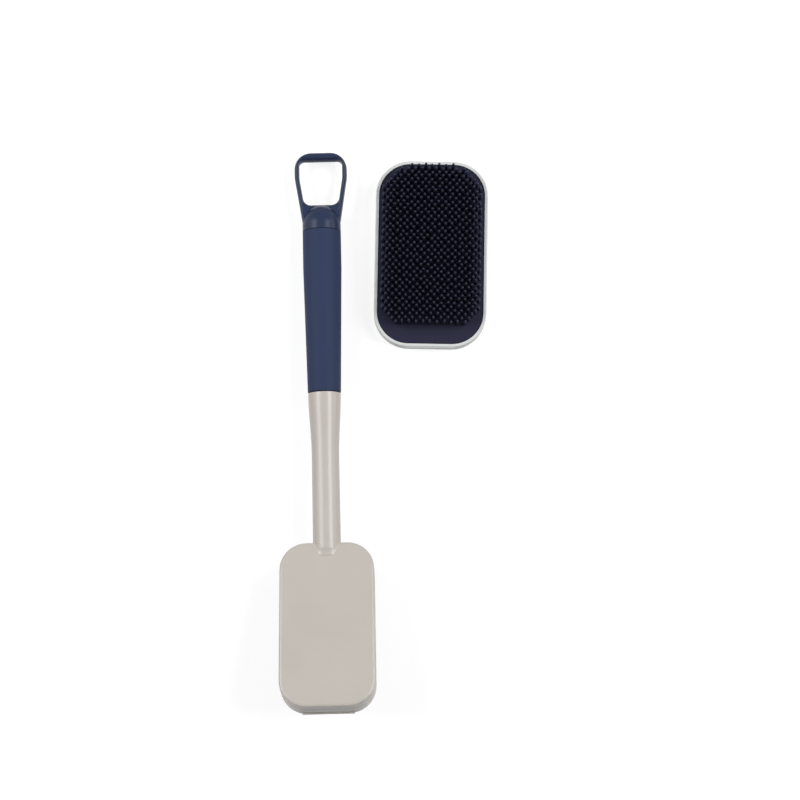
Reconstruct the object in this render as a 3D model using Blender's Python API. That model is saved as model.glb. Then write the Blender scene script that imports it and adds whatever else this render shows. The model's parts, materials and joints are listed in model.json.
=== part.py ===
"""Dish brush with a slide-on rubber head, and its spare head lying beside it.

The brush lies bristles down, as it does on a worktop: on the near rows of its bristles and on the bottom of
its grip. It points along Y, with its head at -Y and its hang loop at +Y. The spare head lies on its back
at +X, bristles up. The floor is z = 0, and the origin is the middle of the whole set's footprint.

Two local frames carry everything. The handle frame has its origin on the handle's axis at the paddle's near
edge, with +Y towards the tail. The head frame has its origin on the paddle's top face at the near edge, with
-Y towards the tip and -Z towards the bristles.
"""

import math

import bmesh
import bpy
from mathutils import Matrix, Vector

# Fits and mesh fineness
running_gap = 0.0003
cut_overrun = 0.004
weld_distance = 0.00001
round_steps = 36
corner_steps = 6
sharp_angle = math.radians(30)

# Paddle: the flat plate at the end of the handle
paddle_width = 0.0493
paddle_length = 0.0870
paddle_corner = 0.0141
paddle_thickness = 0.0062
paddle_top_round = 0.0013
paddle_bottom_round = 0.0003
paddle_tilt = math.radians(15)
paddle_top_above_axis = 0.0045

# Shaft: the bare round neck of the handle, from the paddle to the grip
shaft_radius = 0.0074
shaft_waist_radius = 0.0073
shaft_shoulder_radius = 0.0087
shaft_nose_start = 0.0060
shaft_nose_length = 0.0027
shaft_waist_at = 0.0463
shaft_length = 0.0795

# Tang: the part of the handle that runs on inside the grip
tang_radius = 0.0060
tang_length = 0.0872
tang_tip_chamfer = 0.0008
tang_root_round = 0.0008

# Grip sleeve
grip_front_radius = 0.00885
grip_middle_radius = 0.0096
grip_tail_radius = 0.01035
grip_edge_round = 0.0007
grip_length = 0.0882
grip_tail_straight = 0.0200

# Hang loop and its collar, which closes the grip's tail
collar_length = 0.0035
collar_dome_length = 0.0110
loop_reach = 0.0442
loop_depth = 0.0080
loop_bar = 0.0048
loop_leg = 0.0027
loop_end_width = 0.0286
loop_root_width = 0.0190
loop_widest_share = 0.68
loop_corner = 0.0095
loop_shoulder_round = 0.0200
loop_hole_start = 0.0150
loop_hole_corner = 0.0045
loop_hole_end_corner = 0.0024
loop_edge_round = 0.0018
spigot_radius = 0.0034
spigot_length = 0.0130

# Slide-on head: frame, and the rail and slot that carry it
head_overhang = 0.0003
frame_height = 0.0095
frame_rim = 0.0017
frame_back_round = 0.0003
frame_rim_round = 0.0007
frame_floor = 0.0014
frame_lip = 0.0014
rail_stem_width = 0.0100
rail_flange_width = 0.0180
rail_flange_thickness = 0.0015
rail_near_inset = 0.0030
rail_tip_inset = 0.0170
pocket_depth = 0.0022
pocket_wall = 0.0022
pocket_corner = 0.0030
pocket_end_share = 0.5
tip_tab_width = 0.0266
tip_tab_height = 0.0022
tip_tab_proud = 0.0003

# Rubber pad and its bristles
pad_below_rim = 0.0005
nub_length = 0.0110
nub_root_radius = 0.0010
nub_tip_radius = 0.0006
nub_pitch = 0.0061
nub_row_step = 0.0035
nub_edge_margin = 0.0019
nub_bare_tip = 0.0096
nub_sides = 4

# Spare head: the same rail slot in a larger frame
spare_width = 0.0610
spare_length = 0.1020
spare_corner = 0.0188
spare_turn = math.radians(-2.4)
spare_aside = 0.0590
spare_middle_from_tail = 0.0574

# Sizes that follow from the ones above
head_width = paddle_width + 2 * head_overhang
head_length = paddle_length + head_overhang
head_corner = paddle_corner + head_overhang
frame_back = paddle_thickness + running_gap
rim_bottom = frame_back + frame_height
pad_face = rim_bottom - pad_below_rim
rail_stem = running_gap + frame_lip + running_gap
slot_ceiling = frame_back + frame_lip
slot_floor = slot_ceiling + rail_flange_thickness + 2 * running_gap
tray_floor = slot_floor + frame_floor
first_row = frame_rim + running_gap + nub_edge_margin
grip_start = shaft_length + running_gap
grip_end = grip_start + grip_length
collar_start = grip_end + running_gap
tail_end = collar_start + loop_reach
tang_end = shaft_length + tang_length


def new_object(name, mesh, colour, roughness, parent=None):
    """Links a mesh as an object with a material of its own."""
    thing = bpy.data.objects.new(name, mesh)
    bpy.context.collection.objects.link(thing)
    finish = bpy.data.materials.new(name + "_finish")
    finish.use_nodes = True
    shader = finish.node_tree.nodes["Principled BSDF"]
    shader.inputs["Base Color"].default_value = colour
    shader.inputs["Roughness"].default_value = roughness
    shader.inputs["Metallic"].default_value = 0
    mesh.materials.append(finish)
    thing.parent = parent
    return thing


def empty(name, parent=None):
    """Adds an empty that carries pieces."""
    carrier = bpy.data.objects.new(name, None)
    bpy.context.collection.objects.link(carrier)
    carrier.parent = parent
    return carrier


def to_mesh(name, form):
    """Turns a bmesh into a mesh whose faces point out."""
    bmesh.ops.remove_doubles(form, verts=form.verts, dist=weld_distance)
    bmesh.ops.recalc_face_normals(form, faces=form.faces)
    if form.calc_volume(signed=True) < 0:
        bmesh.ops.reverse_faces(form, faces=form.faces)
    mesh = bpy.data.meshes.new(name)
    form.to_mesh(mesh)
    form.free()
    mesh.shade_smooth()
    mesh.set_sharp_from_angle(angle=sharp_angle)
    return mesh


def rounded_outline(corners, radii):
    """Points of a closed outline with each corner rounded by an arc of its own radius."""
    points = []
    count = len(corners)
    for i in range(count):
        corner = Vector(corners[i])
        before = (Vector(corners[i - 1]) - corner).normalized()
        after = (Vector(corners[(i + 1) % count]) - corner).normalized()
        radius = radii[i]
        if radius == 0:
            points.append(corner)
            continue
        half = before.angle(after) / 2
        middle = corner + (before + after).normalized() * (radius / math.sin(half))
        start = corner + before * (radius / math.tan(half)) - middle
        end = corner + after * (radius / math.tan(half)) - middle
        turn = math.copysign(math.pi - 2 * half, start.x * end.y - start.y * end.x)
        for step in range(corner_steps + 1):
            angle = turn * step / corner_steps
            points.append(middle + Matrix.Rotation(angle, 2) @ start)
    return points


def head_outline(width, length, corner, inset=0):
    """Rounded rectangle of a paddle, frame or pad, drawn in from its edge by an inset."""
    half = width / 2 - inset
    near = -inset
    tip = -length + inset
    radius = max(corner - inset, 0)
    corners = [(-half, tip), (half, tip), (half, near), (-half, near)]
    return rounded_outline(corners, [radius] * len(corners))


def box_outline(width, near, tip):
    """Plain rectangle across the head, from one place along it to another."""
    half = width / 2
    return [Vector(p) for p in ((-half, tip), (half, tip), (half, near), (-half, near))]


def stack(name, rings):
    """Closed solid through outlines of as many points each, stacked along Z: (height, outline) pairs."""
    form = bmesh.new()
    loops = []
    for height, outline in rings:
        loops.append([form.verts.new((p.x, p.y, height)) for p in outline])
    for lower, upper in zip(loops, loops[1:]):
        for i in range(len(lower)):
            j = (i + 1) % len(lower)
            form.faces.new((lower[i], lower[j], upper[j], upper[i]))
    form.faces.new(list(reversed(loops[0])))
    form.faces.new(loops[-1])
    return to_mesh(name, form)


def tee_section(stem_width, flange_width, top, step, bottom):
    """T-shaped section across the head, given by its widths and its depths below the paddle's top."""
    stem = stem_width / 2
    flange = flange_width / 2
    half = [(stem, -top), (stem, -step), (flange, -step), (flange, -bottom)]
    return half + [(-x, z) for x, z in reversed(half)]


def extruded(name, section, near, tip):
    """Straight bar along the head with a given (across, height) section."""
    form = bmesh.new()
    end = form.faces.new([form.verts.new((x, tip, z)) for x, z in section])
    grown = bmesh.ops.extrude_face_region(form, geom=[end], use_keep_orig=True)
    far = [item for item in grown["geom"] if isinstance(item, bmesh.types.BMVert)]
    bmesh.ops.translate(form, verts=far, vec=(0, near - tip, 0))
    return to_mesh(name, form)


def softened(bottom, top, bottom_edge, top_edge):
    """Heights and insets of a plate's rings from the lowest up, each edge softened by its own radius."""
    levels = []
    for level, edge, side in ((bottom, bottom_edge, 1), (top, top_edge, -1)):
        soft = edge * (1 - math.sqrt(0.5))
        ring = [(level, edge), (level + side * soft, soft), (level + side * edge, 0)]
        levels += ring[::side]
    return levels


def slab(name, width, length, corner, top, bottom, top_edge, bottom_edge):
    """Rounded plate between two depths below the paddle's top, with softened edges."""
    levels = softened(-bottom, -top, bottom_edge, top_edge)
    return stack(name, [(height, head_outline(width, length, corner, inset)) for height, inset in levels])


def turned(name, profile, closed=False):
    """Solid turned about the Y axis from (place along Y, radius) points."""
    form = bmesh.new()
    points = [form.verts.new((0, y, -radius)) for y, radius in profile]
    pairs = list(zip(points, points[1:]))
    if closed:
        pairs.append((points[-1], points[0]))
    edges = [form.edges.new(pair) for pair in pairs]
    bmesh.ops.spin(
        form,
        geom=points + edges,
        cent=(0, 0, 0),
        axis=(0, 1, 0),
        angle=math.tau,
        steps=round_steps,
        use_duplicate=False,
    )
    return to_mesh(name, form)


def arc(centre_y, centre_r, radius_y, radius_r, start, end, steps):
    """Profile points along part of an ellipse, from one angle to another."""
    points = []
    for step in range(steps + 1):
        angle = math.radians(start + (end - start) * step / steps)
        points.append((centre_y + radius_y * math.cos(angle), centre_r + radius_r * math.sin(angle)))
    return points


def helper(name, mesh, parent):
    """A cutter or joiner: seen as a wire, and not a piece of the brush."""
    tool = bpy.data.objects.new(name, mesh)
    bpy.context.collection.objects.link(tool)
    tool.parent = parent
    tool.hide_render = True
    tool.display_type = "WIRE"
    return tool


def boolean(piece, tool, operation):
    """Joins or cuts a piece with a helper."""
    step = piece.modifiers.new(tool.name, "BOOLEAN")
    step.operation = operation
    step.solver = "EXACT"
    step.object = tool


def shaft_radius_at(place):
    """Radius of the bare shaft: straight, a slight waist, then a shoulder that meets the grip."""
    if place < shaft_waist_at:
        share = max(place, 0) / shaft_waist_at
        return shaft_radius + (shaft_waist_radius - shaft_radius) * share
    share = (place - shaft_waist_at) / (shaft_length - shaft_waist_at)
    ease = share * share * (3 - 2 * share)
    return shaft_waist_radius + (shaft_shoulder_radius - shaft_waist_radius) * ease


def grip_radius_at(place):
    """Radius of the grip: a curve through its front, middle and tail radii, then straight."""
    share = min((place - grip_start) / (grip_length - grip_tail_straight), 1)
    bend = 2 * grip_middle_radius - (grip_front_radius + grip_tail_radius) / 2
    rest = 1 - share
    return grip_front_radius * rest**2 + 2 * bend * share * rest + grip_tail_radius * share**2


def spread(start, end, steps):
    """Evenly spaced places from start to end, with both ends."""
    return [start + (end - start) * step / steps for step in range(steps + 1)]


def make_handle(handle, head):
    """Light grey plastic core: bullet-nosed shaft, paddle, rail under the paddle, tang inside the grip."""
    nose = arc(-shaft_nose_start, 0, shaft_nose_length, shaft_radius, 180, 90, 8)
    shaft_steps = 8
    shaft = [(place, shaft_radius_at(place)) for place in spread(0, shaft_length, shaft_steps)]
    tang = [
        (shaft_length, tang_radius + tang_root_round),
        (shaft_length + tang_root_round, tang_radius),
        (tang_end - tang_tip_chamfer, tang_radius),
        (tang_end, tang_radius - tang_tip_chamfer),
    ]
    socket = [
        (tang_end, spigot_radius + running_gap),
        (tang_end - spigot_length, spigot_radius + running_gap),
        (tang_end - spigot_length, 0),
    ]
    profile = nose + shaft + tang + socket
    core = new_object("handle_core", turned("handle_core", profile), grey, 0.5, handle)

    trim_depth = paddle_thickness - paddle_bottom_round
    trim_bottom = rim_bottom + cut_overrun
    trim_outline = box_outline(paddle_width, running_gap, -paddle_length)
    trim = stack("shaft_trim", [(-trim_bottom, trim_outline), (-trim_depth, trim_outline)])
    boolean(core, helper("shaft_trim", trim, head), "DIFFERENCE")

    plate = slab(
        "paddle",
        paddle_width,
        paddle_length,
        paddle_corner,
        0,
        paddle_thickness,
        paddle_top_round,
        paddle_bottom_round,
    )
    boolean(core, helper("paddle", plate, head), "UNION")

    flange_top = paddle_thickness + rail_stem
    section = tee_section(
        rail_stem_width,
        rail_flange_width,
        paddle_thickness / 2,
        flange_top,
        flange_top + rail_flange_thickness,
    )
    rail = extruded("rail", section, -rail_near_inset, -paddle_length + rail_tip_inset)
    boolean(core, helper("rail", rail, head), "UNION")
    return core


def make_grip(handle):
    """Soft navy sleeve moulded over the tang."""
    bore = tang_radius + running_gap
    front = arc(
        grip_start + grip_edge_round,
        grip_front_radius - grip_edge_round,
        grip_edge_round,
        grip_edge_round,
        180,
        90,
        3,
    )
    grip_steps = 10
    body_places = spread(grip_start + grip_edge_round, grip_end, grip_steps)
    body = [(place, grip_radius_at(place)) for place in body_places]
    inner = [
        (grip_end, bore),
        (grip_start + tang_root_round, bore),
        (grip_start, bore + tang_root_round),
    ]
    profile = front[:-1] + body + inner
    return new_object("grip_sleeve", turned("grip_sleeve", profile, True), navy, 0.6, handle)


def loop_outline(root, leg, bar, root_round, corner):
    """Stirrup outline of the loop from its root, drawn in by a leg at its sides and a bar at its end."""
    widest = collar_start + loop_reach * loop_widest_share
    end = tail_end - bar
    half_end = loop_end_width / 2 - leg
    half_root = loop_root_width / 2 - leg
    share = (root - collar_start) / (widest - collar_start)
    half_start = half_root + (half_end - half_root) * share
    corners = [
        (half_start, root),
        (half_end, widest),
        (half_end, end),
        (-half_end, end),
        (-half_end, widest),
        (-half_start, root),
    ]
    radii = [root_round, loop_shoulder_round, corner, corner, loop_shoulder_round, root_round]
    return rounded_outline(corners, radii)


def make_hang_loop(handle):
    """Glossy navy end cap: a collar that closes the grip, a spigot in the tang's socket, and the loop."""
    dome_start = collar_start + collar_length
    dome = arc(dome_start, 0, collar_dome_length, grip_tail_radius, 90, 0, 7)
    spigot_end = collar_start - spigot_length + running_gap
    spigot = [
        (spigot_end, 0),
        (spigot_end, spigot_radius),
        (collar_start, spigot_radius),
        (collar_start, grip_tail_radius),
    ]
    loop = new_object("hang_loop", turned("hang_loop", spigot + dome), dark_navy, 0.35, handle)

    root = collar_start + collar_length / 2
    half = loop_depth / 2
    levels = softened(-half, half, loop_edge_round, loop_edge_round)
    rings = [(height, loop_outline(root, inset, inset, 0, loop_corner - inset)) for height, inset in levels]
    boolean(loop, helper("stirrup", stack("stirrup", rings), handle), "UNION")

    hole_start = collar_start + loop_hole_start
    hole_outline = loop_outline(hole_start, loop_leg, loop_bar, loop_hole_corner, loop_hole_end_corner)
    reach = grip_tail_radius + cut_overrun
    hole = stack("loop_hole", [(-reach, hole_outline), (reach, hole_outline)])
    boolean(loop, helper("loop_hole", hole, handle), "DIFFERENCE")
    return loop


def make_frame(name, carrier, width, length, corner):
    """Light grey tray of a head: rim, floor, and in its back the slot that slides onto the rail."""
    body = slab(name, width, length, corner, frame_back, rim_bottom, frame_back_round, frame_rim_round)
    frame = new_object(name, body, grey, 0.5, carrier)

    tray_outline = head_outline(width, length, corner, frame_rim)
    tray = stack(name + "_tray", [(-rim_bottom - cut_overrun, tray_outline), (-tray_floor, tray_outline)])
    boolean(frame, helper(name + "_tray", tray, carrier), "DIFFERENCE")

    slot_end = -paddle_length + rail_tip_inset - running_gap
    section = tee_section(
        rail_stem_width + 2 * running_gap,
        rail_flange_width + 2 * running_gap,
        frame_back - cut_overrun,
        slot_ceiling,
        slot_floor,
    )
    slot = extruded(name + "_slot", section, cut_overrun, slot_end)
    boolean(frame, helper(name + "_slot", slot, carrier), "DIFFERENCE")

    inner_side = rail_flange_width / 2 + running_gap + pocket_wall
    outer_side = width / 2 - frame_rim - pocket_wall
    near = -corner * pocket_end_share
    tip = -length - near
    radii = [pocket_corner] * 4
    for side, word in ((-1, "left"), (1, "right")):
        left, right = sorted((side * inner_side, side * outer_side))
        corners = [(left, tip), (right, tip), (right, near), (left, near)]
        pocket_outline = rounded_outline(corners, radii)
        pocket_floor = frame_back + pocket_depth
        levels = [(-pocket_floor, pocket_outline), (-frame_back + cut_overrun, pocket_outline)]
        pocket = stack(name + "_pocket_" + word, levels)
        boolean(frame, helper(name + "_pocket_" + word, pocket, carrier), "DIFFERENCE")

    tab_outline = box_outline(tip_tab_width, -length + frame_rim / 2, -length - tip_tab_proud)
    tab_bottom = rim_bottom - frame_rim_round
    tab = stack(name + "_tip_tab", [(-tab_bottom, tab_outline), (-tab_bottom + tip_tab_height, tab_outline)])
    boolean(frame, helper(name + "_tip_tab", tab, carrier), "UNION")
    return frame


def nub_places(width, length, corner):
    """Centres of the bristles: staggered rows inside a rounded field, with the tip end left bare."""
    half = width / 2 - first_row
    near = -first_row
    tip = -length + frame_rim + running_gap + nub_bare_tip
    radius = corner - first_row
    most = math.ceil(half / nub_pitch)
    places = []
    row = 0
    while near - row * nub_row_step >= tip:
        y = near - row * nub_row_step
        into_corner = max(radius - min(near - y, y - tip), 0)
        reach = half - radius + math.sqrt(radius**2 - into_corner**2)
        for column in range(-most, most + 1):
            x = (column + (row % 2) / 2) * nub_pitch
            if abs(x) <= reach:
                places.append((x, y))
        row += 1
    return places


def make_pad(name, carrier, width, length, corner):
    """Navy rubber pad in the tray, with its bristles moulded in one piece with it."""
    inset = frame_rim + running_gap
    top = tray_floor + running_gap
    outline = head_outline(width, length, corner, inset)
    pad = new_object(name, stack(name, [(-pad_face, outline), (-top, outline)]), navy, 0.55, carrier)

    form = bmesh.new()
    root = -pad_face + (pad_face - top) / 2
    tip = -pad_face - nub_length
    for x, y in nub_places(width, length, corner):
        bmesh.ops.create_cone(
            form,
            cap_ends=True,
            segments=nub_sides,
            radius1=nub_tip_radius,
            radius2=nub_root_radius,
            depth=root - tip,
            matrix=Matrix.Translation((x, y, (root + tip) / 2)),
        )
    nubs = to_mesh(name + "_nubs", form)
    boolean(pad, helper(name + "_nubs", nubs, carrier), "UNION")
    return pad


# Colours of the three plastics
grey = (0.53, 0.50, 0.46, 1)
navy = (0.040, 0.055, 0.100, 1)
dark_navy = (0.018, 0.026, 0.045, 1)

for old in list(bpy.data.objects):
    bpy.data.objects.remove(old)

# The line through the two things that the brush stands on sets how the handle lies
into_head = Matrix.Translation((0, 0, paddle_top_above_axis)) @ Matrix.Rotation(-paddle_tilt, 4, "X")
bristle_foot = into_head @ Vector((0, -first_row + nub_tip_radius, -pad_face - nub_length))
grip_foot = Vector((0, collar_start + collar_length, -grip_tail_radius))
foot_line = grip_foot - bristle_foot
handle_slope = math.atan2(foot_line.z, foot_line.y)
into_rest = Matrix.Rotation(-handle_slope, 4, "X")

# The spare's own half sizes across and along the set, turned as it lies
spare_straight_x = spare_width / 2 - spare_corner
spare_straight_y = spare_length / 2 - spare_corner
turn_cos = math.cos(spare_turn)
turn_sin = abs(math.sin(spare_turn))
spare_half_x = spare_straight_x * turn_cos + spare_straight_y * turn_sin + spare_corner

# Places that put the middle of the footprint at the origin
tip_foot = into_rest @ into_head @ Vector((0, -head_length - tip_tab_proud, frame_rim_round - rim_bottom))
tail_top = into_rest @ Vector((0, tail_end, loop_depth / 2))
brush_x = (head_width / 2 - spare_aside - spare_half_x) / 2
brush_y = -(tip_foot.y + tail_top.y) / 2
brush_z = -(into_rest @ grip_foot).z

handle_frame = empty("handle_frame")
handle_frame.location = (brush_x, brush_y, brush_z)
handle_frame.rotation_euler = (-handle_slope, 0, 0)

head_frame_place = empty("head_frame_place", handle_frame)
head_frame_place.location = (0, 0, paddle_top_above_axis)
head_frame_place.rotation_euler = (-paddle_tilt, 0, 0)

# Turned over about Y, the spare's back lies on the floor and its tip still points to -Y
spare_place = empty("spare_place")
spare_centre = Vector((brush_x + spare_aside, brush_y + tail_top.y - spare_middle_from_tail, -frame_back))
spare_place.rotation_euler = (0, math.pi, spare_turn)
spare_place.location = spare_centre + Matrix.Rotation(spare_turn, 3, "Z") @ Vector((0, spare_length / 2, 0))

make_handle(handle_frame, head_frame_place)
make_grip(handle_frame)
make_hang_loop(handle_frame)
make_frame("head_frame", head_frame_place, head_width, head_length, head_corner)
make_pad("bristle_pad", head_frame_place, head_width, head_length, head_corner)
make_frame("spare_head_frame", spare_place, spare_width, spare_length, spare_corner)
make_pad("spare_bristle_pad", spare_place, spare_width, spare_length, spare_corner)
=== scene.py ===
"""Dish brush with a slide-on rubber head and a spare head beside it: the finished look of the CAD model."""

import json
import math

import bmesh
import bpy
from mathutils import Matrix, Vector


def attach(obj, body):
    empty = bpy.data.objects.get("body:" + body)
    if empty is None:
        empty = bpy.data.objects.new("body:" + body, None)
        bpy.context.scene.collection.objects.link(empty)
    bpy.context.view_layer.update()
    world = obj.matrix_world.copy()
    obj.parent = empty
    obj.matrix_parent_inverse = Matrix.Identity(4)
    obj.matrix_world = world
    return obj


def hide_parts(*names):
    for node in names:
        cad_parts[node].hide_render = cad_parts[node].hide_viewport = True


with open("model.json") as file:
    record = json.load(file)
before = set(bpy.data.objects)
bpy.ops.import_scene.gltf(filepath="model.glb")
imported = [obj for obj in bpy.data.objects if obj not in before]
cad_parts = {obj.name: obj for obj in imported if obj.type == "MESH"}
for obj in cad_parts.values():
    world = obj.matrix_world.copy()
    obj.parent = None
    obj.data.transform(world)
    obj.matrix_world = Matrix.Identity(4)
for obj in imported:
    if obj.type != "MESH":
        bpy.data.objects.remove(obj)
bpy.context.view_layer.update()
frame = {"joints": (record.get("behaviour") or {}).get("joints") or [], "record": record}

# Camera. It looks almost straight down from 0.9 m above the brush, from a little beyond the head's tip, so
# that the tip's end wall shows. Its lens, lean and roll were fitted to the outlines in the photograph.
picture_width = 800
focal_pixels = 1657.4
sensor_width = 36
camera_distance = 0.9
aim = Vector((0.0073, 0.0143, 0))
lean = math.radians(5.79)
roll = math.radians(-1.37)

forward = Vector((0, math.sin(lean), -math.cos(lean)))
level_up = Vector((0, math.cos(lean), math.sin(lean)))
right = Vector((1, 0, 0)) * math.cos(roll) + level_up * math.sin(roll)
up = level_up * math.cos(roll) - Vector((1, 0, 0)) * math.sin(roll)
camera_data = bpy.data.cameras.new("camera")
camera_data.sensor_width = sensor_width
camera_data.lens = focal_pixels * sensor_width / picture_width
camera = bpy.data.objects.new("camera", camera_data)
bpy.context.collection.objects.link(camera)
camera_turn = Matrix((right, up, -forward)).transposed().to_4x4()
camera.matrix_world = Matrix.Translation(aim - forward * camera_distance) @ camera_turn
bpy.context.scene.camera = camera

# Light. Two wide soft boxes hang left and right of the brush, tilted from straight above, and each leaves a
# pale band along the round shaft. Two weaker ones stand low at the sides, with a weak even light all round.
bpy.context.scene.view_settings.view_transform = "Standard"
ambient_level = 0.06
box_distance = 1.1
soft_boxes = {
    "left_box": {"tilt": math.radians(-44), "size": (0.56, 0.72), "middle_y": 0.27, "power": 8.0},
    "right_box": {"tilt": math.radians(38), "size": (0.48, 0.72), "middle_y": 0.17, "power": 8.4},
    "low_left_box": {"tilt": math.radians(-78), "size": (0.30, 0.80), "middle_y": 0.40, "power": 0.9},
    "low_right_box": {"tilt": math.radians(78), "size": (0.30, 0.80), "middle_y": 0.40, "power": 2.2},
}
for name, box in soft_boxes.items():
    lamp_data = bpy.data.lights.new(name, "AREA")
    lamp_data.shape = "RECTANGLE"
    lamp_data.size, lamp_data.size_y = box["size"]
    lamp_data.energy = box["power"]
    lamp = bpy.data.objects.new(name, lamp_data)
    bpy.context.collection.objects.link(lamp)
    tilt = box["tilt"]
    lamp.location = (math.sin(tilt) * box_distance, box["middle_y"], math.cos(tilt) * box_distance)
    lamp.rotation_euler = (0, tilt, 0)
    lamp.visible_camera = False


def seen_directly(tree):
    """Adds nodes that give 1 for camera, mirror and see-through rays, and 0 for light that bounces."""
    path = tree.nodes.new("ShaderNodeLightPath")
    total = path.outputs["Is Camera Ray"]
    for ray in ("Is Glossy Ray", "Is Transmission Ray"):
        either = tree.nodes.new("ShaderNodeMath")
        either.operation = "MAXIMUM"
        tree.links.new(total, either.inputs[0])
        tree.links.new(path.outputs[ray], either.inputs[1])
        total = either.outputs[0]
    return total


world = bpy.data.worlds.new("studio")
world.use_nodes = True
bpy.context.scene.world = world
backdrop = world.node_tree.nodes["Background"]
backdrop.inputs["Color"].default_value = (1, 1, 1, 1)
level = world.node_tree.nodes.new("ShaderNodeMapRange")
level.inputs["To Min"].default_value = ambient_level
level.inputs["To Max"].default_value = 1
world.node_tree.links.new(seen_directly(world.node_tree), level.inputs["Value"])
world.node_tree.links.new(level.outputs["Result"], backdrop.inputs["Strength"])

# Floor. A matt white sheet that the brush and the spare head lie on. It shows pure white to the camera and
# in reflections, throws little light back on the pieces, and keeps a faint shadow near them.
floor_half = 0.8
floor_drop = 0.0001
floor_white = 0.36
floor_glow = 0.785

floor_mesh = bpy.data.meshes.new("floor")
floor_corners = [(-1, -1), (1, -1), (1, 1), (-1, 1)]
floor_points = [(x * floor_half, y * floor_half, -floor_drop) for x, y in floor_corners]
floor_mesh.from_pydata(floor_points, [], [(0, 1, 2, 3)])
floor = bpy.data.objects.new("floor", floor_mesh)
bpy.context.collection.objects.link(floor)
sheet = bpy.data.materials.new("white_sheet")
sheet.use_nodes = True
sheet_tree = sheet.node_tree
sheet_tree.nodes.remove(sheet_tree.nodes["Principled BSDF"])
matt = sheet_tree.nodes.new("ShaderNodeBsdfDiffuse")
matt.inputs["Color"].default_value = (floor_white, floor_white, floor_white, 1)
glow = sheet_tree.nodes.new("ShaderNodeEmission")
glow_level = sheet_tree.nodes.new("ShaderNodeMath")
glow_level.operation = "MULTIPLY"
glow_level.inputs[1].default_value = floor_glow
both = sheet_tree.nodes.new("ShaderNodeAddShader")
sheet_tree.links.new(seen_directly(sheet_tree), glow_level.inputs[0])
sheet_tree.links.new(glow_level.outputs[0], glow.inputs["Strength"])
sheet_tree.links.new(matt.outputs[0], both.inputs[0])
sheet_tree.links.new(glow.outputs[0], both.inputs[1])
sheet_tree.links.new(both.outputs[0], sheet_tree.nodes["Material Output"].inputs["Surface"])
floor_mesh.materials.append(sheet)

# Handle core. One satin moulding in warm light grey: a round shaft whose end sinks into a flat rounded
# paddle with a small fillet, a rail under the paddle for the head, and a tang in the grip with a socket for
# the loop's spigot.
fit_gap = 0.0003
cut_margin = 0.004
weld_distance = 0.00001
around_steps = 96
corner_steps = 14
edge_steps = 7
sharp_angle = math.radians(32)

plastic_ior = 1.46
cloud_fineness = 33
cloud_detail = 3
cloud_low, cloud_high = 0.32, 0.68
grain_detail = 4
grain_roughness = 0.6
grain_share = 0.35

paddle_width = 0.0493
paddle_length = 0.0870
paddle_corner = 0.0141
paddle_thickness = 0.0062
paddle_top_edge = (0.0019, 0.0010)
paddle_under_edge = (0.0001, 0.0001)
paddle_above_axis = 0.0045

shaft_radius = 0.0074
waist_radius = 0.0073
shoulder_radius = 0.0087
nose_start = 0.0060
nose_length = 0.0027
nose_steps = 28
neck_steps = 16
shaft_steps = 40
blend_radius = 0.0018
blend_start = 0.25
blend_steps = 40
blend_least = 0.02
blend_overlap = 1.01
blend_depth = 1.2
blend_facets = 6
widest_guess = math.radians(20)
widest_step = math.radians(0.1)
halvings = 40
settle_start = 0.0025
end_height = 0.60
waist_place = 0.0463
shaft_length = 0.0795
tang_radius = 0.0060
tang_length = 0.0872
tang_edge = 0.0008
tang_end = shaft_length + tang_length
spigot_radius = 0.0034
spigot_length = 0.0130

stem_width = 0.0100
flange_width = 0.0180
flange_thickness = 0.0015
frame_lip = 0.0014
rail_near = 0.0030
rail_tip = 0.0170

grey = (0.545, 0.508, 0.462)
deeper_grey = (0.520, 0.484, 0.438)

# The record says how the pieces lie: the mount in the loop gives the handle's axis, the joint the head's.
mounts = {mount["name"]: mount for mount in frame["record"]["mounts"]}
slide_axis = next(joint["axis"] for joint in frame["joints"] if joint["name"] == "head_slide")
bar_place = 0.2077


def lying_along(tip_direction, origin):
    """Place of a piece whose tip points that way, in the upright plane along Y."""
    slope = math.atan2(-tip_direction[2], -tip_direction[1])
    return Matrix.Translation(origin) @ Matrix.Rotation(slope, 4, "X")


bar_axis = mounts["hang_bar"]["axis"]
bar_middle = Vector(mounts["hang_bar"]["pos_m"])
handle_place = lying_along(bar_axis, bar_middle + Vector(bar_axis) * bar_place)
head_place = lying_along(slide_axis, handle_place @ Vector((0, 0, paddle_above_axis)))
paddle_tilt = Vector(bar_axis).angle(Vector(slide_axis))
paddle_up = Vector((0, math.sin(paddle_tilt), math.cos(paddle_tilt)))


def closed_mesh(name, form):
    """A mesh from a bmesh, with its doubles merged and its faces pointing out."""
    bmesh.ops.remove_doubles(form, verts=form.verts, dist=weld_distance)
    bmesh.ops.recalc_face_normals(form, faces=form.faces)
    if form.calc_volume(signed=True) < 0:
        bmesh.ops.reverse_faces(form, faces=form.faces)
    mesh = bpy.data.meshes.new(name)
    form.to_mesh(mesh)
    form.free()
    return mesh


def rounded(corners, radii):
    """A closed outline through corners, each rounded by an arc of its own radius."""
    points = []
    for i, radius in enumerate(radii):
        corner = Vector(corners[i])
        before = (Vector(corners[i - 1]) - corner).normalized()
        after = (Vector(corners[(i + 1) % len(corners)]) - corner).normalized()
        half = before.angle(after) / 2
        middle = corner + (before + after).normalized() * (radius / math.sin(half))
        start = corner + before * (radius / math.tan(half)) - middle
        end = corner + after * (radius / math.tan(half)) - middle
        turn = math.copysign(math.pi - 2 * half, start.x * end.y - start.y * end.x)
        for step in range(corner_steps + 1):
            points.append(middle + Matrix.Rotation(turn * step / corner_steps, 2) @ start)
    return points


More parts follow.
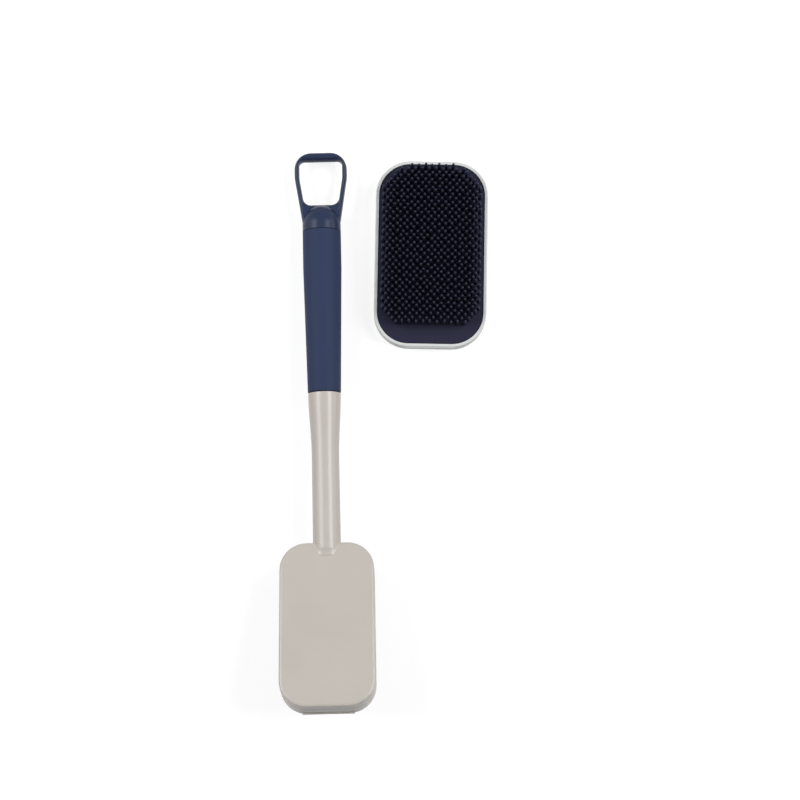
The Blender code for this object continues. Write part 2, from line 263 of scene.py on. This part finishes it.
def head_outline(width, length, corner, inset=0.0):
    """Rounded outline of a paddle, frame or pad, with its near edge at 0 and its tip towards -Y."""
    half, near, tip = width / 2 - inset, -inset, inset - length
    return rounded([(-half, tip), (half, tip), (half, near), (-half, near)], [corner - inset] * 4)


def stacked(name, rings):
    """A closed solid through outlines of as many points, from the lowest up: (height, outline) pairs."""
    form = bmesh.new()
    loops = [[form.verts.new((p[0], p[1], height)) for p in outline] for height, outline in rings]
    for lower, upper in zip(loops, loops[1:]):
        for i in range(len(lower)):
            form.faces.new((lower[i - 1], lower[i], upper[i], upper[i - 1]))
    form.faces.new(loops[0][::-1])
    form.faces.new(loops[-1])
    return closed_mesh(name, form)


def soft_plate(name, width, length, corner, top, bottom, top_edge, under_edge):
    """A plate between two depths under the paddle's top, its edges rolled over as (width, depth) say."""
    rings = []
    for level, (inward, deep), side in ((-bottom, under_edge, 1), (-top, top_edge, -1)):
        roll = []
        for step in range(edge_steps + 1):
            angle = math.pi / 2 * step / edge_steps
            roll.append((level + side * deep * (1 - math.cos(angle)), inward * (1 - math.sin(angle))))
        rings += roll[::side]
    return stacked(name, [(height, head_outline(width, length, corner, inset)) for height, inset in rings])


def bar_along(name, section, near, tip):
    """A straight bar along the head with one (across, height) section."""
    form = bmesh.new()
    end = form.faces.new([form.verts.new((x, tip, z)) for x, z in section])
    grown = bmesh.ops.extrude_face_region(form, geom=[end], use_keep_orig=True)
    far = [item for item in grown["geom"] if isinstance(item, bmesh.types.BMVert)]
    bmesh.ops.translate(form, verts=far, vec=(0, near - tip, 0))
    return closed_mesh(name, form)


def tee(stem, flange, top, step, bottom):
    """T section from its widths and its depths under the paddle's top."""
    half = [(stem / 2, -top), (stem / 2, -step), (flange / 2, -step), (flange / 2, -bottom)]
    return half + [(-x, z) for x, z in reversed(half)]


def turned(name, profile, closed=False):
    """A solid turned about the Y axis from (place, radius) points."""
    form = bmesh.new()
    points = [form.verts.new((0, place, -radius)) for place, radius in profile]
    pairs = list(zip(points, points[1:])) + ([(points[-1], points[0])] if closed else [])
    edges = [form.edges.new(pair) for pair in pairs]
    bmesh.ops.spin(
        form,
        geom=points + edges,
        cent=(0, 0, 0),
        axis=(0, 1, 0),
        angle=math.tau,
        steps=around_steps,
        use_duplicate=False,
    )
    return closed_mesh(name, form)


def arc(middle, radii, start, end, steps):
    """(place, radius) points along part of an ellipse, between two angles in degrees."""
    points = []
    for step in range(steps + 1):
        angle = math.radians(start + (end - start) * step / steps)
        points.append((middle[0] + radii[0] * math.cos(angle), middle[1] + radii[1] * math.sin(angle)))
    return points


def along(start, end, steps):
    """Even places from start to end."""
    return [start + (end - start) * step / steps for step in range(steps + 1)]


def at_place(mesh, place):
    """An object at the origin whose mesh has been put in its place."""
    mesh.transform(place)
    thing = bpy.data.objects.new(mesh.name, mesh)
    bpy.context.collection.objects.link(thing)
    return thing


def carve(body, steps):
    """Joins and cuts a body with (operation, tool) pairs, and leaves it one plain mesh without slivers."""
    for operation, tool in steps:
        modifier = body.modifiers.new(tool.name, "BOOLEAN")
        modifier.operation = operation
        modifier.solver = "EXACT"
        modifier.object = tool
    plain(body)
    for operation, tool in steps:
        bpy.data.objects.remove(tool)
    form = bmesh.new()
    form.from_mesh(body.data)
    bmesh.ops.dissolve_degenerate(form, dist=weld_distance, edges=form.edges)
    bmesh.ops.remove_doubles(form, verts=form.verts, dist=weld_distance)
    form.to_mesh(body.data)
    form.free()


def plain(body):
    """Turns what a body's modifiers make into its own mesh."""
    view = bpy.context.evaluated_depsgraph_get()
    made = bpy.data.meshes.new_from_object(body.evaluated_get(view))
    body.modifiers.clear()
    body.data = made


def even_shading(body):
    """Smooth shading that keeps flat faces flat and real corners sharp."""
    body.data.shade_smooth()
    body.data.set_sharp_from_angle(angle=sharp_angle)
    weighted = body.modifiers.new("even", "WEIGHTED_NORMAL")
    weighted.keep_sharp = True
    plain(body)


def moulded_finish(name, colour, deeper, gloss, mirror, grain_size, grain_depth):
    """A moulded plastic or rubber: a fine spark-eroded grain, and a slight cloudiness in colour and gloss.

    Its gloss is the range of roughness, from the shiniest to the dullest spot.
    """
    finish = bpy.data.materials.new(name)
    finish.use_nodes = True
    nodes, links = finish.node_tree.nodes, finish.node_tree.links
    shader = nodes["Principled BSDF"]
    shader.inputs["IOR"].default_value = plastic_ior
    shader.inputs["Specular IOR Level"].default_value = mirror
    place = nodes.new("ShaderNodeTexCoord")
    cloud = nodes.new("ShaderNodeTexNoise")
    cloud.inputs["Scale"].default_value = cloud_fineness
    cloud.inputs["Detail"].default_value = cloud_detail
    grain = nodes.new("ShaderNodeTexNoise")
    grain.inputs["Scale"].default_value = 1 / grain_size
    grain.inputs["Detail"].default_value = grain_detail
    grain.inputs["Roughness"].default_value = grain_roughness
    tint = nodes.new("ShaderNodeValToRGB")
    tint.color_ramp.elements[0].position = cloud_low
    tint.color_ramp.elements[0].color = (*deeper, 1)
    tint.color_ramp.elements[1].position = cloud_high
    tint.color_ramp.elements[1].color = (*colour, 1)
    mixed = nodes.new("ShaderNodeMath")
    mixed.operation = "MULTIPLY_ADD"
    mixed.inputs[1].default_value = grain_share
    shine = nodes.new("ShaderNodeMapRange")
    shine.inputs["From Min"].default_value = grain_share
    shine.inputs["From Max"].default_value = 1.0
    shine.inputs["To Min"].default_value = gloss[0]
    shine.inputs["To Max"].default_value = gloss[1]
    bump = nodes.new("ShaderNodeBump")
    bump.inputs["Strength"].default_value = 1
    bump.inputs["Distance"].default_value = grain_depth
    for texture in (cloud, grain):
        links.new(place.outputs["Object"], texture.inputs["Vector"])
    links.new(grain.outputs["Fac"], mixed.inputs[0])
    links.new(cloud.outputs["Fac"], mixed.inputs[2])
    links.new(cloud.outputs["Fac"], tint.inputs["Fac"])
    links.new(tint.outputs["Color"], shader.inputs["Base Color"])
    links.new(mixed.outputs[0], shine.inputs["Value"])
    links.new(shine.outputs["Result"], shader.inputs["Roughness"])
    links.new(grain.outputs["Fac"], bump.inputs["Height"])
    links.new(bump.outputs["Normal"], shader.inputs["Normal"])
    return finish


def dressed(body, finish, rides_on, slot, *nodes):
    """Gives a finished piece its material and body, in place of its CAD nodes. Its slot argument is not
    used.
    """
    body.data.materials.clear()
    body.data.materials.append(finish)
    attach(body, rides_on)
    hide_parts(*nodes)


def above_paddle(point):
    """Height of a point of the handle above its paddle's top."""
    return (point - Vector((0, 0, paddle_above_axis))).dot(paddle_up)


def settled(mesh):
    """The same mesh, with what stands above the paddle's top pressed lower towards the shaft's end."""
    for vertex in mesh.vertices:
        height = above_paddle(vertex.co)
        share = min(max((-vertex.co.y - settle_start) / (nose_start - settle_start), 0), 1)
        if height > 0:
            vertex.co -= paddle_up * (height * (1 - end_height) * share * share * (3 - 2 * share))
    return mesh


def neck_blend(name):
    """The fillet round the shaft's end on the paddle's top: it grows from the near edge to the end."""

    def ball(share, turn):
        """Middle, radius and shaft normal of a ball that rolls on the shaft, by its place and its turn."""
        angle = math.pi / 2 * max(2 * share - 1, 0)
        place = -nose_start * min(2 * share, 1) - nose_length * math.sin(angle)
        normal = Vector((-math.sin(angle) / nose_length, math.cos(angle) / shaft_radius)).normalized()
        size = blend_radius * min(max(2 * share - blend_start, blend_least), 1)
        across = shaft_radius * math.cos(angle) + size * normal[1]
        middle = Vector((across * math.sin(turn), place + size * normal[0], across * math.cos(turn)))
        return middle, size, Vector((normal[1] * math.sin(turn), normal[0], normal[1] * math.cos(turn)))

    def lift(share, turn):
        """How far that ball is off the paddle's top."""
        middle, size, normal = ball(share, turn)
        return above_paddle(middle) - size

    widest = widest_guess
    while lift(blend_start / 2, widest) > 0:
        widest += widest_step
    form = bmesh.new()
    loops = []
    for step in range(-blend_steps, blend_steps + 1):
        turn = widest * step / blend_steps
        low, high = blend_start / 2, 1.0
        for halving in range(halvings):
            share = (low + high) / 2
            low, high = (share, high) if lift(share, turn) > 0 else (low, share)
        middle, size, normal = ball(share, turn)
        section = [
            middle - normal.slerp(paddle_up, facet / blend_facets) * size * blend_overlap
            for facet in range(blend_facets + 1)
        ]
        section.append(middle - (normal + paddle_up) * size * blend_depth)
        loops.append([form.verts.new(point) for point in section])
    for before, after in zip(loops, loops[1:]):
        for i in range(len(before)):
            form.faces.new((before[i - 1], before[i], after[i], after[i - 1]))
    form.faces.new(loops[0][::-1])
    form.faces.new(loops[-1])
    return closed_mesh(name, form)


def shaft_radius_at(place):
    """Radius of the bare shaft: almost straight to a slight waist, then a shoulder up to the grip."""
    if place < waist_place:
        return shaft_radius + (waist_radius - shaft_radius) * place / waist_place
    share = (place - waist_place) / (shaft_length - waist_place)
    return waist_radius + (shoulder_radius - waist_radius) * share * share * (3 - 2 * share)


frame_back = paddle_thickness + fit_gap
frame_height = 0.0095
rim_bottom = frame_back + frame_height
shaft_profile = arc((-nose_start, 0), (nose_length, shaft_radius), 180, 90, nose_steps)
shaft_profile += [(place, shaft_radius) for place in along(-nose_start, 0, neck_steps)[1:-1]]
shaft_profile += [(place, shaft_radius_at(place)) for place in along(0, shaft_length, shaft_steps)]
shaft_profile += [
    (shaft_length, tang_radius + tang_edge),
    (shaft_length + tang_edge, tang_radius),
    (tang_end - tang_edge, tang_radius),
    (tang_end, tang_radius - tang_edge),
    (tang_end, spigot_radius + fit_gap),
    (tang_end - spigot_length, spigot_radius + fit_gap),
    (tang_end - spigot_length, 0),
]
handle_core = at_place(settled(turned("handle_moulding", shaft_profile)), handle_place)
half = paddle_width / 2
under = [(-half, -paddle_length), (half, -paddle_length), (half, fit_gap), (-half, fit_gap)]
cut_top = paddle_under_edge[1] - paddle_thickness
below_paddle = stacked("below_paddle", [(-rim_bottom - cut_margin, under), (cut_top, under)])
paddle_size = (paddle_width, paddle_length, paddle_corner)
paddle = soft_plate("paddle", *paddle_size, 0, paddle_thickness, paddle_top_edge, paddle_under_edge)
flange_top = frame_back + frame_lip + fit_gap
flange_bottom = flange_top + flange_thickness
rail_section = tee(stem_width, flange_width, paddle_thickness / 2, flange_top, flange_bottom)
rail = bar_along("rail", rail_section, -rail_near, rail_tip - paddle_length)
carve(
    handle_core,
    [
        ("DIFFERENCE", at_place(below_paddle, head_place)),
        ("UNION", at_place(paddle, head_place)),
        ("UNION", at_place(settled(neck_blend("neck_blend")), handle_place)),
        ("UNION", at_place(rail, head_place)),
    ],
)
even_shading(handle_core)
satin_grey = moulded_finish(
    "satin_grey_plastic",
    grey,
    deeper_grey,
    gloss=(0.27, 0.34),
    mirror=0.5,
    grain_size=0.00045,
    grain_depth=0.000006,
)
dressed(handle_core, satin_grey, "handle", "grey_plastic", "handle_core")

# Grip sleeve. Soft-touch navy rubber moulded over the tang, a little thicker towards the tail, with a small
# rolled lip where it meets the shaft's shoulder.
grip_start = shaft_length + fit_gap
grip_length = 0.0882
grip_end = grip_start + grip_length
grip_front = 0.00885
grip_middle = 0.0096
grip_tail = 0.01035
grip_lip = 0.0007
grip_straight = 0.0200
grip_steps = 44
lip_steps = 6
navy = (0.031, 0.044, 0.098)
deeper_navy = (0.029, 0.041, 0.092)


def grip_radius_at(place):
    """Radius of the grip: a curve through its front, middle and tail, then straight."""
    share = min((place - grip_start) / (grip_length - grip_straight), 1)
    bend = 2 * grip_middle - (grip_front + grip_tail) / 2
    rest = 1 - share
    return grip_front * rest**2 + 2 * bend * share * rest + grip_tail * share**2


lip_middle = (grip_start + grip_lip, grip_front - grip_lip)
grip_profile = arc(lip_middle, (grip_lip, grip_lip), 180, 90, lip_steps)[:-1]
grip_places = along(grip_start + grip_lip, grip_end, grip_steps)
grip_profile += [(place, grip_radius_at(place)) for place in grip_places]
grip_profile += [
    (grip_end, tang_radius + fit_gap),
    (grip_start + tang_edge, tang_radius + fit_gap),
    (grip_start, tang_radius + fit_gap + tang_edge),
]
grip = at_place(turned("grip_rubber_sleeve", grip_profile, closed=True), handle_place)
even_shading(grip)
soft_navy = moulded_finish(
    "soft_touch_navy",
    navy,
    deeper_navy,
    gloss=(0.54, 0.64),
    mirror=0.12,
    grain_size=0.00035,
    grain_depth=0.000008,
)
dressed(grip, soft_navy, "handle", "grip_rubber", "grip_sleeve")

# Hang loop. A glossy dark navy end cap: a collar and dome that close the grip, a spigot in the tang's
# socket, and a flat stirrup with a wide hole to hang the brush by. One moulding, every edge rolled over.
collar_start = grip_end + fit_gap
collar_length = 0.0035
dome_length = 0.0110
dome_steps = 16
loop_reach = 0.0442
loop_depth = 0.0080
loop_bar = 0.0048
loop_leg = 0.0027
loop_end_width = 0.0286
loop_root_width = 0.0190
loop_widest = 0.68
loop_corner = 0.0095
loop_shoulder = 0.0200
hole_start = 0.0150
hole_corner = 0.0045
hole_end_corner = 0.0024
root_corner = 0.0005
loop_roll = 0.0040
roll_steps = 16
tail_end = collar_start + loop_reach
dark_navy = (0.023, 0.035, 0.082)
deeper_dark = (0.020, 0.031, 0.074)


def stirrup_outline(root, leg, bar, root_round, corner):
    """Outline of the loop from its root, drawn in by a leg at the sides and a bar at the end."""
    widest = collar_start + loop_reach * loop_widest
    end = tail_end - bar
    half_end = loop_end_width / 2 - leg
    half_root = loop_root_width / 2 - leg
    half_start = half_root + (half_end - half_root) * (root - collar_start) / (widest - collar_start)
    right_side = [(half_start, root), (half_end, widest), (half_end, end)]
    corners = right_side + [(-x, y) for x, y in reversed(right_side)]
    return rounded(corners, [root_round, loop_shoulder, corner, corner, loop_shoulder, root_round])


def stirrup_mesh(name, outer, inner):
    """A flat ring between two outlines, whose top and underside are rolled right over from side to side."""
    section = []
    for upward in (-1, 1):
        for step in range(roll_steps + 1):
            angle = math.pi * step / roll_steps
            height = upward * (loop_depth / 2 - loop_roll * (1 - math.sin(angle)))
            section.append(((1 + upward * math.cos(angle)) / 2, height))
    form = bmesh.new()
    loops = []
    for start, end in zip(outer, inner):
        across = [start.lerp(end, 1 - share) for share, height in section]
        loops.append([form.verts.new((p.x, p.y, height)) for p, (share, height) in zip(across, section)])
    for i in range(len(loops)):
        for j in range(len(section)):
            form.faces.new((loops[i - 1][j - 1], loops[i - 1][j], loops[i][j], loops[i][j - 1]))
    return closed_mesh(name, form)


root = collar_start + collar_length / 2
outer = stirrup_outline(root, 0, 0, root_corner, loop_corner)
inner = stirrup_outline(collar_start + hole_start, loop_leg, loop_bar, hole_corner, hole_end_corner)
spigot_end = collar_start - spigot_length + fit_gap
loop_profile = [
    (spigot_end, 0),
    (spigot_end, spigot_radius),
    (collar_start, spigot_radius),
    (collar_start, grip_tail),
]
loop_profile += arc((collar_start + collar_length, 0), (dome_length, grip_tail), 90, 0, dome_steps)
hang_loop = at_place(turned("hang_loop_moulding", loop_profile), handle_place)
carve(hang_loop, [("UNION", at_place(stirrup_mesh("stirrup", outer, inner), handle_place))])
even_shading(hang_loop)
gloss_navy = moulded_finish(
    "glossy_dark_navy",
    dark_navy,
    deeper_dark,
    gloss=(0.28, 0.36),
    mirror=0.2,
    grain_size=0.0009,
    grain_depth=0.000003,
)
dressed(hang_loop, gloss_navy, "handle", "loop_plastic", "hang_loop")

# Head frame. A light grey plastic tray under the paddle, one moulding: a thin rim round the rubber pad, a T
# slot in its back that slides onto the rail, a shallow pocket each side of the slot, and a small finger tab
# at the tip.
frame_rim = 0.0017
frame_back_edge = (0.0001, 0.0001)
frame_rim_edge = (0.0007, 0.0007)
frame_floor = 0.0014
pocket_depth = 0.0022
pocket_wall = 0.0022
pocket_corner = 0.0030
tab_width = 0.0266
tab_height = 0.0022
tab_proud = 0.0003
overhang = 0.0001
slot_floor = frame_back + frame_lip + flange_thickness + 2 * fit_gap
tray_floor = slot_floor + frame_floor
head_size = (paddle_width + 2 * overhang, paddle_length + overhang, paddle_corner + overhang)


def make_frame(name, size, back, place):
    """The tray of a head, carved from a soft-edged plate whose back is that deep under the paddle's top."""
    width, length, corner = size
    body = at_place(soft_plate(name, *size, back, rim_bottom, frame_back_edge, frame_rim_edge), place)
    tray = head_outline(*size, frame_rim)
    cuts = [stacked("tray", [(-rim_bottom - cut_margin, tray), (-tray_floor, tray)])]
    slot = tee(
        stem_width + 2 * fit_gap,
        flange_width + 2 * fit_gap,
        frame_back - cut_margin,
        frame_back + frame_lip,
        slot_floor,
    )
    cuts.append(bar_along("slot", slot, cut_margin, rail_tip - paddle_length - fit_gap))
    inner_side = flange_width / 2 + fit_gap + pocket_wall
    outer_side = width / 2 - frame_rim - pocket_wall
    for side in (-1, 1):
        low, high = sorted((side * inner_side, side * outer_side))
        near, tip = -corner / 2, corner / 2 - length
        pocket = rounded([(low, tip), (high, tip), (high, near), (low, near)], [pocket_corner] * 4)
        pocket_rings = [(-frame_back - pocket_depth, pocket), (cut_margin - frame_back, pocket)]
        cuts.append(stacked("pocket", pocket_rings))
    half, near, tip = tab_width / 2, frame_rim / 2 - length, -length - tab_proud
    tab_bottom = frame_rim_edge[1] - rim_bottom
    tab = [(-half, tip), (half, tip), (half, near), (-half, near)]
    tab_mesh = stacked("tab", [(tab_bottom, tab), (tab_bottom + tab_height, tab)])
    steps = [("DIFFERENCE", at_place(cut, place)) for cut in cuts] + [("UNION", at_place(tab_mesh, place))]
    carve(body, steps)
    even_shading(body)
    return body


seam_gap = 0.00004
head_frame = make_frame("head_tray", head_size, paddle_thickness + seam_gap, head_place)
dressed(head_frame, satin_grey, "head", "grey_plastic", "head_frame")

# Bristle pad of the head. Dark navy rubber, moulded in one piece with its many short round bristles, which
# stand in staggered rows and leave the tip end bare. It is pressed into the tray.
pad_below_rim = 0.0005
pad_face = rim_bottom - pad_below_rim
pad_edge = (0.0003, 0.0003)
strand_length = 0.0110
strand_sunk = 0.0004
strand_sides = 8
root_radius = 0.00088
strand_stations = ((0, 1.35), (0.06, 1.0), (0.50, 0.88), (0.95, 0.78), (0.985, 0.66), (1.0, 0.38))
strand_pitch = 0.00373
row_step = 0.00203
strand_margin = 0.0019
bare_tip = 0.0096
field_tip_corner = 0.0093
strand_lean = math.radians(2.2)
shortest_share = 0.97
rubber = (0.012, 0.013, 0.034)
deeper_rubber = (0.010, 0.011, 0.029)
# Painted highlight: the bristles turn a paler navy towards their tips, standing in for the light the tips
# catch.
tip_highlight_colour = (0.021, 0.024, 0.045)
highlight_rise = 1.2


def strand_places(size):
    """Root middles of the bristles: staggered rows in a field with rounded corners."""
    width, length, corner = size
    first = frame_rim + fit_gap + strand_margin
    half = width / 2 - first
    rows = int((length - frame_rim - fit_gap - bare_tip - first) / row_step) + 1
    ends = ((-first, corner - first), (-first - (rows - 0.5) * row_step, field_tip_corner))
    most = math.ceil(half / strand_pitch)
    places = []
    for row in range(rows):
        y = -first - row * row_step
        reach = half
        for end, radius in ends:
            into_corner = max(radius - abs(y - end), 0)
            reach = min(reach, half - radius + math.sqrt(radius**2 - into_corner**2))
        for column in range(-most, most + 1):
            x = (column + (row % 2) / 2) * strand_pitch
            if abs(x) <= reach:
                places.append((x, y, strand_sunk - pad_face))
    return places


pad_finish = moulded_finish(
    "matt_navy_rubber",
    rubber,
    deeper_rubber,
    gloss=(0.48, 0.60),
    mirror=0.2,
    grain_size=0.0005,
    grain_depth=0.000010,
)
# Painted highlight: the rubber's colour is mixed towards the paler tip colour along each bristle's height,
# most at the tip.
nodes, links = pad_finish.node_tree.nodes, pad_finish.node_tree.links
base = nodes["Principled BSDF"].inputs["Base Color"]
height = nodes.new("ShaderNodeAttribute")
height.attribute_name = "height"
highlight_ramp = nodes.new("ShaderNodeMath")
highlight_ramp.operation = "POWER"
highlight_ramp.inputs[1].default_value = highlight_rise
highlight_mix = nodes.new("ShaderNodeMix")
highlight_mix.data_type = "RGBA"
highlight_mix.inputs[7].default_value = (*tip_highlight_colour, 1)
links.new(height.outputs["Fac"], highlight_ramp.inputs[0])
links.new(highlight_ramp.outputs[0], highlight_mix.inputs[0])
links.new(base.links[0].from_socket, highlight_mix.inputs[6])
links.new(highlight_mix.outputs[2], base)


def strand_mesh():
    """One bristle: a small flare at its root, a straight taper and a round tip, open at the sunk root."""
    form = bmesh.new()
    # The height share along each bristle drives the pad's painted highlight towards the tips.
    height = form.verts.layers.float.new("height")
    loops = []
    for share, width in strand_stations:
        radius = root_radius * width
        ring = []
        for side in range(strand_sides):
            angle = math.tau * side / strand_sides
            point = (radius * math.cos(angle), radius * math.sin(angle), -share * strand_length)
            ring.append(form.verts.new(point))
            ring[-1][height] = share
        loops.append(ring)
    for upper, lower in zip(loops, loops[1:]):
        for i in range(strand_sides):
            form.faces.new((upper[i - 1], upper[i], lower[i], lower[i - 1]))
    form.faces.new(loops[0])
    form.faces.new(loops[-1])
    return closed_mesh("strand", form)


def make_pad(name, size, place, seed):
    """A pad's slab with its bristles."""
    inset = frame_rim + fit_gap
    slab_size = (size[0] - 2 * inset, size[1] - 2 * inset, size[2] - inset)
    slab = soft_plate(name, *slab_size, tray_floor + fit_gap, pad_face, pad_edge, pad_edge)
    slab.transform(Matrix.Translation((0, -inset, 0)))
    pad = at_place(slab, Matrix.Identity(4))
    even_shading(pad)

    roots = bpy.data.meshes.new(name + "_roots")
    roots.from_pydata(strand_places(size), [], [])
    field = at_place(roots, Matrix.Identity(4))
    pattern = at_place(strand_mesh(), Matrix.Identity(4))
    pattern.data.shade_smooth()

    tree = bpy.data.node_groups.new("bristles", "GeometryNodeTree")
    sockets = {}
    for label, kind in (
        ("Geometry", "NodeSocketGeometry"),
        ("Strand", "NodeSocketObject"),
        ("Lean", "NodeSocketFloat"),
        ("Shortest share", "NodeSocketFloat"),
        ("Seed", "NodeSocketInt"),
        ("Finish", "NodeSocketMaterial"),
    ):
        sockets[label] = tree.interface.new_socket(label, in_out="INPUT", socket_type=kind).identifier
    tree.interface.new_socket("Geometry", in_out="OUTPUT", socket_type="NodeSocketGeometry")
    new, link = tree.nodes.new, tree.links.new
    given, result = new("NodeGroupInput"), new("NodeGroupOutput")
    strand = new("GeometryNodeObjectInfo")
    stand = new("GeometryNodeInstanceOnPoints")
    lean = new("FunctionNodeRandomValue")
    lean.data_type = "FLOAT_VECTOR"
    backwards = new("ShaderNodeMath")
    backwards.operation = "MULTIPLY"
    backwards.inputs[1].default_value = -1
    least, most = new("ShaderNodeCombineXYZ"), new("ShaderNodeCombineXYZ")
    tall = new("FunctionNodeRandomValue")
    size_of = new("ShaderNodeCombineXYZ")
    realize = new("GeometryNodeRealizeInstances")
    paint = new("GeometryNodeSetMaterial")
    link(given.outputs["Strand"], strand.inputs["Object"])
    link(strand.outputs["Geometry"], stand.inputs["Instance"])
    link(given.outputs["Geometry"], stand.inputs["Points"])
    link(given.outputs["Lean"], backwards.inputs[0])
    for axis in ("X", "Y"):
        link(backwards.outputs[0], least.inputs[axis])
        link(given.outputs["Lean"], most.inputs[axis])
        size_of.inputs[axis].default_value = 1
    link(least.outputs[0], lean.inputs["Min"])
    link(most.outputs[0], lean.inputs["Max"])
    link(given.outputs["Seed"], lean.inputs["Seed"])
    link(lean.outputs["Value"], stand.inputs["Rotation"])
    link(given.outputs["Shortest share"], tall.inputs[2])
    tall.inputs[3].default_value = 1
    link(given.outputs["Seed"], tall.inputs["Seed"])
    link(tall.outputs[1], size_of.inputs["Z"])
    link(size_of.outputs[0], stand.inputs["Scale"])
    link(stand.outputs[0], realize.inputs[0])
    link(realize.outputs[0], paint.inputs["Geometry"])
    link(given.outputs["Finish"], paint.inputs["Material"])
    link(paint.outputs[0], result.inputs["Geometry"])

    growth = field.modifiers.new("bristles", "NODES")
    growth.node_group = tree
    growth[sockets["Strand"]] = pattern
    growth[sockets["Lean"]] = strand_lean
    growth[sockets["Shortest share"]] = shortest_share
    growth[sockets["Seed"]] = seed
    growth[sockets["Finish"]] = pad_finish
    plain(field)

    whole = bmesh.new()
    whole.from_mesh(pad.data)
    whole.from_mesh(field.data)
    whole.to_mesh(pad.data)
    whole.free()
    for spent in (field, pattern):
        bpy.data.objects.remove(spent)
    pad.data.transform(place)
    return pad


bristle_pad = make_pad("head_pad", head_size, head_place, 4)
dressed(bristle_pad, pad_finish, "head", "pad_rubber", "bristle_pad")

# Spare head. A pale grey plastic tray with a dark navy rubber pad pressed into it: the mounted head's two
# mouldings in a larger size. It lies loose beside the brush with its bristles up, and its slot has the size
# of the mounted head's, so it fits the same rail.
spare_size = (0.0610, 0.1020, 0.0188)
spare_turn = math.radians(-2.4)
spare_middle = Vector((0.026056, 0.092687, -frame_back))
turned_round = Matrix.Rotation(spare_turn, 4, "Z")
upside_down = Matrix.Rotation(math.pi, 4, "Y")
spare_origin = spare_middle + turned_round @ Vector((0, spare_size[1] / 2, 0))
spare_place = Matrix.Translation(spare_origin) @ turned_round @ upside_down
pale_grey = (0.690, 0.702, 0.700)
deeper_pale = (0.665, 0.677, 0.675)

spare_frame = make_frame("spare_tray", spare_size, frame_back, spare_place)
pale_plastic = moulded_finish(
    "pale_grey_plastic",
    pale_grey,
    deeper_pale,
    gloss=(0.34, 0.42),
    mirror=0.5,
    grain_size=0.00045,
    grain_depth=0.000006,
)
dressed(spare_frame, pale_plastic, "spare_head", "grey_plastic", "spare_head_frame")
spare_pad = make_pad("spare_pad", spare_size, spare_place, 9)
dressed(spare_pad, pad_finish, "spare_head", "pad_rubber", "spare_bristle_pad")

bpy.context.view_layer.update()
